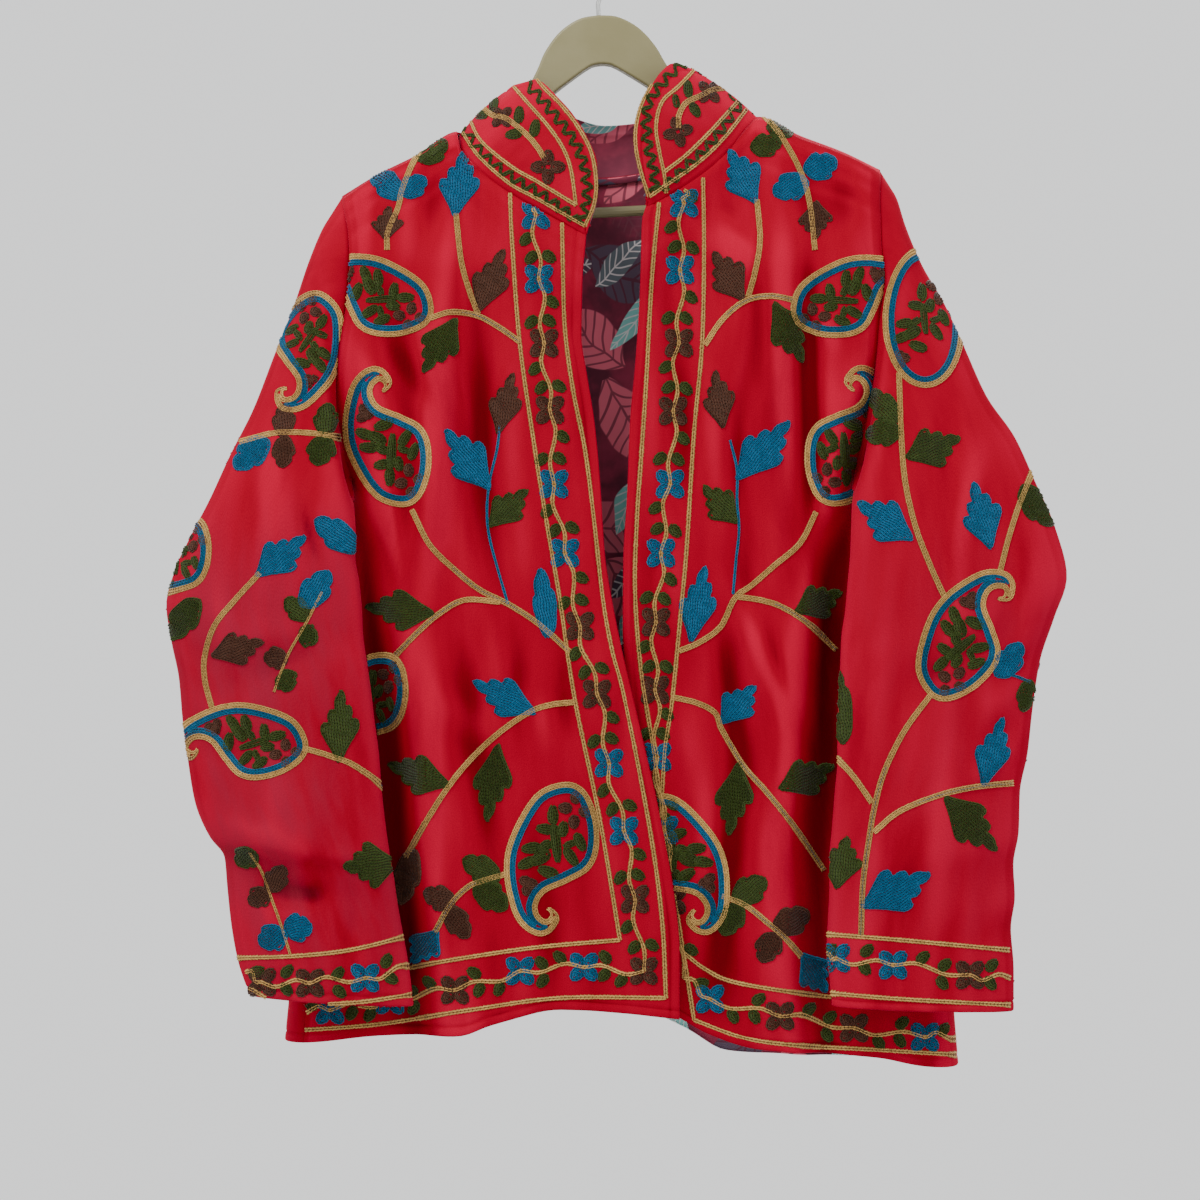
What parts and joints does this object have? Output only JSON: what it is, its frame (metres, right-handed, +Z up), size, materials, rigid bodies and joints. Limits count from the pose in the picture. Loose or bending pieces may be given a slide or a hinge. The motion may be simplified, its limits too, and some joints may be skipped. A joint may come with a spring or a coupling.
{
  "type": "embroidered velvet jacket on a hanger",
  "caption": "Open-fronted lined velvet jacket with a pointed stand collar, long sleeves and chain-stitch embroidery, hung flat on a contoured hanger with a wire hook.",
  "frame": {"origin": "hanging point: the highest point inside the hanger's hook, where a rail carries it", "axes": "+Z up, -Y is the jacket's front, +X is to the right as seen from the front"},
  "size_m": [0.677, 0.1257, 0.8495],
  "materials": {
    "velvet": "crushed pile",
    "lining_print": "printed cotton",
    "thread_gold": "chain stitch",
    "thread_blue": "chain stitch",
    "thread_green": "chain stitch",
    "thread_brown": "chain stitch",
    "hanger_paint": "satin",
    "wire": "satin"
  },
  "bodies": {
    "root": {"back": "velvet", "front_left": "velvet", "front_right": "velvet", "sleeve_left": "velvet", "sleeve_right": "velvet", "collar": "velvet", "back_lining": "lining_print", "collar_lining": "lining_print", "hanger_board": "hanger_paint", "hanger_bar": "hanger_paint", "hanger_hook": "wire"}
  },
  "joints": []
}
